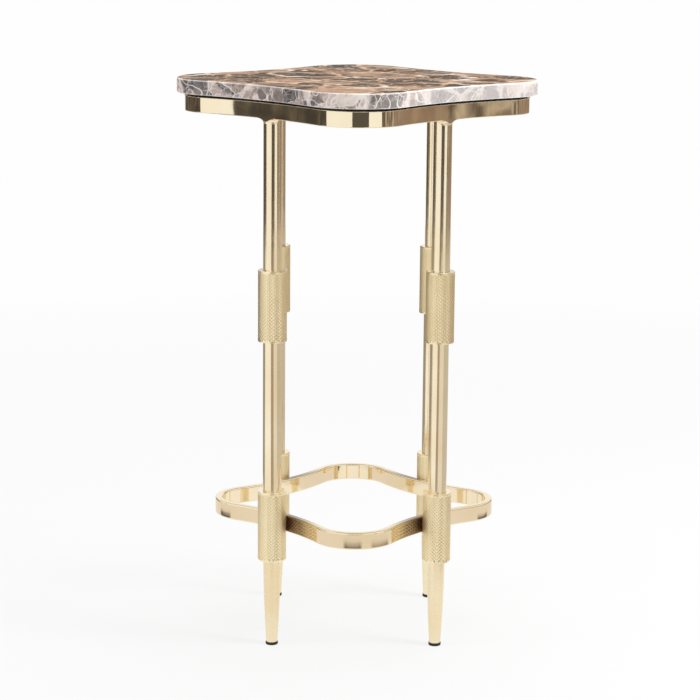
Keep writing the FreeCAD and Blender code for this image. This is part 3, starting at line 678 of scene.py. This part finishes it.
reflectedShadeStrips = [                     # painted dark reflections: dark strips on the floor that only the ring reflects, standing in for shade beneath it: degrees, near and far edge at both ends, tone
    (-112.0, -74.0, (0.578, 0.616), (0.588, 0.622), "#2A221B"),
    (-25.0, 17.0, (0.54, 0.612), (0.54, 0.612), "#120E0B"),
    (34.0, 90.0, (0.50, 0.592), (0.40, 0.482), "#3A3028"),
    (76.0, 114.0, (0.586, 0.616), (0.576, 0.606), "#3A3028"),
]
lamps = {                       # place, size in m and watts
    "keyRight": ((2.5, -0.8, 1.3), 1.4, 82),
    "fillLeft": ((-2.4, -0.9, 1.2), 1.6, 22),
    "overhead": ((0.2, 0.3, 2.4), 1.6, 28),
}


def seenDirectly(tree):
    # camera, mirror and glass rays, which all see the white background
    path = addNode(tree, "ShaderNodeLightPath").outputs
    first = addNode(tree, mathNode, {0: path["Is Camera Ray"], 1: path["Is Glossy Ray"]},
                    operation="MAXIMUM")
    return addNode(tree, mathNode, {0: first.outputs[0], 1: path["Is Transmission Ray"]},
                   operation="MAXIMUM").outputs[0]


def makeWorld():
    world = bpy.data.worlds.new("whiteStudio")
    world.use_nodes = True
    tree = world.node_tree
    tree.nodes.clear()
    strength = addNode(tree, rangeNode, {"Value": seenDirectly(tree), "To Min": studio["ambient"],
                       "To Max": studio["white"]})
    sky = addNode(tree, "ShaderNodeBackground", {"Color": linear("#FFFFFF"),
                  "Strength": strength.outputs[0]})
    addNode(tree, "ShaderNodeOutputWorld", {"Surface": sky.outputs[0]})
    bpy.context.scene.world = world


def addStage(name, points, faces, material):
    mesh = bpy.data.meshes.new(name)
    mesh.from_pydata(points, [], faces)
    mesh.materials.append(material)
    plate = bpy.data.objects.new(name, mesh)
    bpy.context.scene.collection.objects.link(plate)
    return plate


def makeFloor():
    # white backdrop paper: matt, and lit up behind the table so that it runs into the white round it
    material, tree, shader = newMaterial("whitePaper")
    tree.nodes.remove(shader)
    place = addNode(tree, "ShaderNodeTexCoord").outputs["Object"]
    away = addNode(tree, vectorNode, {0: place}, operation="LENGTH").outputs["Value"]
    whiteness = addNode(tree, rangeNode, {"Value": away, "From Min": studio["glowFrom"],
                        "From Max": studio["glowTo"], "To Min": studio["floorGlow"], "To Max": 1.0})
    share = addNode(tree, mathNode, {0: seenDirectly(tree), 1: whiteness.outputs[0]}, operation="MULTIPLY")
    paper = addNode(tree, "ShaderNodeBsdfDiffuse", {"Color": linear(studio["paper"])})
    glow = addNode(tree, "ShaderNodeEmission", {"Color": linear("#FFFFFF"), "Strength": studio["white"]})
    mixed = addNode(tree, "ShaderNodeMixShader", {0: share.outputs[0], 1: paper.outputs[0],
                    2: glow.outputs[0]})
    tree.links.new(mixed.outputs[0], tree.nodes["Material Output"].inputs["Surface"])
    material.cycles.emission_sampling = "NONE"
    half = studio["floorSize"] / 2
    addStage("floor", [(-half, -half, 0), (half, -half, 0), (half, half, 0), (-half, half, 0)],
             [(0, 1, 2, 3)], material)


def makeReflected(name, start, end, edges, tones, fades=False):
    # a sector round the table that only reflections see. Edges are its near and far edge at the start and
    # at the end, as (radius, height)
    material, tree, shader = newMaterial(name)
    tree.nodes.remove(shader)
    cloth = addNode(tree, "ShaderNodeEmission", {"Color": linear(tones[0])})
    place = addNode(tree, "ShaderNodeTexCoord").outputs
    if len(tones) > 1:
        drawn = addNode(tree, "ShaderNodeMapping", {"Vector": place["Object"],
                        "Scale": studio["mottleStretch"]})
        patch = addNode(tree, noiseNode, {"Vector": drawn.outputs[0], "Scale": perMm(studio["mottle"]),
                        "Detail": 3.0})
        tone = addNode(tree, rampNode, {"Fac": patch.outputs["Fac"]},
                       stops=list(zip(studio["mottleRange"], tones)))
        tree.links.new(tone.outputs["Color"], cloth.inputs["Color"])
    if fades:
        sheetPlace = addNode(tree, "ShaderNodeSeparateXYZ", {0: place["UV"]}).outputs
        rimPale, rimDark = studio["fadeInwards"]
        endPale, endDark = studio["fadeAside"]
        inwards = addNode(tree, rangeNode, {"Value": sheetPlace["Y"], "From Min": rimPale,
                          "From Max": rimDark})
        fromMiddle = addNode(tree, mathNode, {0: sheetPlace["X"], 1: 0.5}, operation="SUBTRACT")
        aside = addNode(tree, mathNode, {0: fromMiddle.outputs[0]}, operation="ABSOLUTE")
        between = addNode(tree, rangeNode, {"Value": aside.outputs[0], "From Min": endPale,
                          "From Max": endDark})
        dark = addNode(tree, mathNode, {0: inwards.outputs[0], 1: between.outputs[0]}, operation="MULTIPLY")
        tone = addNode(tree, mixNode, {0: dark.outputs[0], mixA: linear(studio["paleFloor"]),
                       mixB: linear(tones[0])}, data_type="RGBA")
        tree.links.new(tone.outputs[mixOut], cloth.inputs["Color"])
    tree.links.new(cloth.outputs[0], tree.nodes["Material Output"].inputs["Surface"])
    material.cycles.emission_sampling = "NONE"
    steps = math.ceil((end - start) / studio["sectorStep"])
    points = []
    for step in range(steps + 1):
        share = step / steps
        angle = math.radians(start + (end - start) * share)
        for first, last in zip(*edges):
            radius, height = Vector(first).lerp(Vector(last), share)
            points.append((radius * math.sin(angle), -radius * math.cos(angle), height))
    faces = [(2 * k, 2 * k + 2, 2 * k + 3, 2 * k + 1) for k in range(steps)]
    sheet = addStage(name, points, faces, material)
    corners = sheet.data.uv_layers.new(name="sheet").data
    for loop in sheet.data.loops:
        corners[loop.index].uv = (loop.vertex_index // 2 / steps, loop.vertex_index % 2)
    sheet.visible_camera = False
    sheet.visible_diffuse = False
    sheet.visible_transmission = False
    sheet.visible_shadow = False


def addLamp(name, place, size, watts):
    light = bpy.data.lights.new(name, "AREA")
    light.shape = "DISK"
    light.size = size
    light.energy = watts
    lamp = bpy.data.objects.new(name, light)
    lamp.location = place
    lamp.rotation_mode = "QUATERNION"
    lamp.rotation_quaternion = ((solidBox[0] + solidBox[1]) / 2 - Vector(place)).to_track_quat("-Z", "Y")
    lamp.visible_glossy = False
    bpy.context.scene.collection.objects.link(lamp)


makeWorld()
makeFloor()
lift = studio["cardLift"]
for index, (start, end, distance, foot, head, tones) in enumerate(drapes):
    edge = [(distance, foot), (distance, head)]
    makeReflected(f"drape{index}", start, end, [edge, edge], tones)
for index, (start, end, near, far, tone) in enumerate(cards):
    edge = [(near, lift), (far, lift)]
    makeReflected(f"card{index}", start, end, [edge, edge], [tone])
for index, (start, end, startEdge, endEdge, tone) in enumerate(reflectedShadeStrips):
    edges = [[(radius, 2 * lift) for radius in edge] for edge in (startEdge, endEdge)]
    makeReflected(f"smudge{index}", start, end, edges, [tone], fades=True)
for name, (place, size, watts) in lamps.items():
    addLamp(name, place, size, watts)
print("studio:", len(drapes), "drapes,", len(cards), "cards,", len(reflectedShadeStrips), "smudges and", len(lamps),
      "lamps")


# Camera

view = {
    "place": (-0.0241, -2.5264, 0.8127),
    "yaw": -0.42,               # degrees, to the left
    "pitch": -11.25,
    "roll": -0.50,
    "lens": 119.85,             # mm
    "sensor": 36.0,             # mm wide
}


def makeCamera():
    camera = bpy.data.cameras.new("camera")
    camera.sensor_width = view["sensor"]
    camera.lens = view["lens"]
    holder = bpy.data.objects.new("camera", camera)
    aim = Matrix.Translation(view["place"])
    for degrees, axis in ((view["yaw"], "Z"), (view["pitch"], "X"), (view["roll"], "Y"), (90, "X")):
        aim = aim @ Matrix.Rotation(math.radians(degrees), 4, axis)
    holder.matrix_world = aim
    bpy.context.scene.collection.objects.link(holder)
    bpy.context.scene.camera = holder


makeCamera()
bpy.context.scene.view_settings.view_transform = "Standard"
